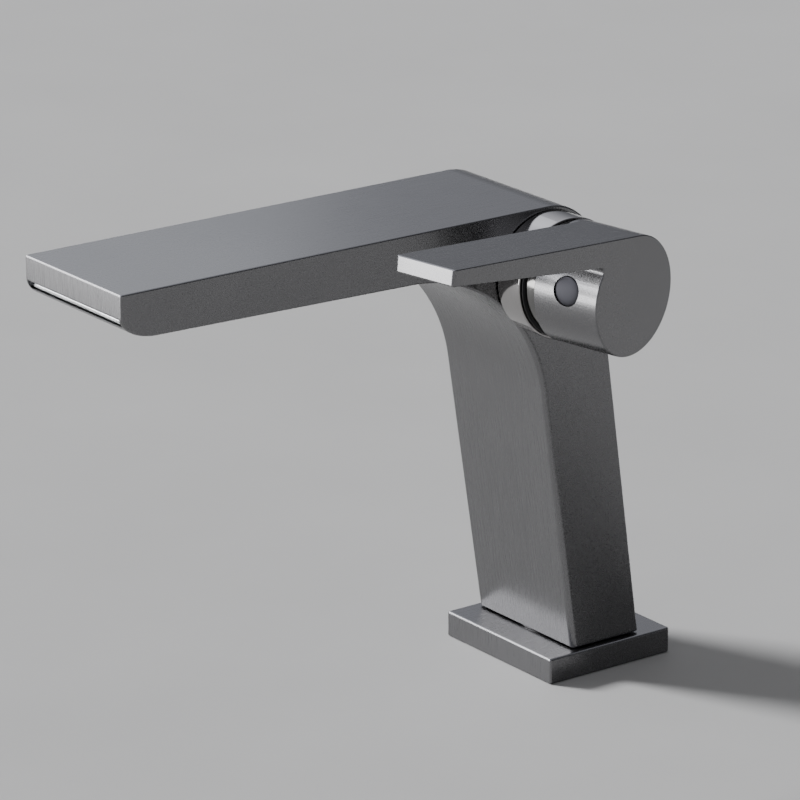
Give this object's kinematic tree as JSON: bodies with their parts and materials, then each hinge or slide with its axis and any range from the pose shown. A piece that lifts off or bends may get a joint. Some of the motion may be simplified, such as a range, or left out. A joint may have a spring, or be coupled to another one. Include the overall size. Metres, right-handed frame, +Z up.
{
  "type": "bathroom mixer faucet",
  "caption": "Single-lever basin mixer: leaning square column, long flat waterfall spout, round side handle with a flat blade lever, square base flange and under-deck fixings.",
  "frame": {"origin": "centre of the base flange's underside, on the deck", "axes": "+Z up out of the deck, -Y along the spout away from the wall, +X towards the side handle"},
  "size_m": [0.1021, 0.1915, 0.2157],
  "materials": {
    "gunmetal": "brushed gunmetal grey coating on brass",
    "dark_gunmetal": "satin dark gunmetal coating on brass",
    "satin_metal": "satin grey coating on brass",
    "raw_brass": "machined",
    "stainless_steel": "machined stainless steel",
    "black_rubber": "moulded black rubber",
    "white_plastic": "moulded natural acetal",
    "grey_plastic": "moulded grey plastic",
    "alumina_ceramic": "lapped alumina"
  },
  "bodies": {
    "fixed_body": {"faucet_body": "gunmetal", "waterfall_lip": "stainless_steel", "flow_straightener": "white_plastic", "trim_collar": "satin_metal", "collar_washer": "black_rubber", "dome_cover": "satin_metal", "retaining_nut": "raw_brass", "cartridge_housing": "white_plastic", "cartridge_base": "grey_plastic", "hot_port_seal": "black_rubber", "cold_port_seal": "black_rubber", "mixed_port_seal": "black_rubber", "fixed_ceramic_disc": "alumina_ceramic", "base_flange": "gunmetal", "base_gasket": "black_rubber", "hot_inlet_nipple": "raw_brass", "hot_inlet_o_ring": "black_rubber", "cold_inlet_nipple": "raw_brass", "cold_inlet_o_ring": "black_rubber", "rubber_horseshoe_washer": "black_rubber", "steel_horseshoe_washer": "stainless_steel", "mounting_stud": "stainless_steel", "mounting_nut": "raw_brass"},
    "carrier": {"cartridge_carrier": "grey_plastic", "carrier_o_ring": "black_rubber", "pivot_pin": "stainless_steel"},
    "disc_slider": {"moving_ceramic_disc": "alumina_ceramic", "disc_driver": "grey_plastic"},
    "handle_unit": {"stem": "raw_brass", "handle": "gunmetal", "handle_grub_screw": "stainless_steel", "screw_cap": "dark_gunmetal"}
  },
  "joints": [
    {"name": "temperature_turn", "type": "hinge", "parent": "fixed_body", "child": "carrier", "pos_m": [0.0347, -0.0244, 0.127], "axis": [1, 0, 0], "range_deg": [-38.4, 51.6]},
    {"name": "flow_tilt", "type": "hinge", "parent": "carrier", "child": "handle_unit", "pos_m": [0.0347, -0.0244, 0.127], "axis": [0, 0.1149, 0.9934], "range_deg": [-14.3, 10.7]},
    {"name": "disc_slide", "type": "slide", "parent": "carrier", "child": "disc_slider", "axis": [0, -0.9934, 0.1149], "range_m": [-0.0023, 0.0018]}
  ],
  "couplings": [
    {"joint": "disc_slide", "follows": "flow_tilt", "m_per_rad": 0.00869}
  ]
}
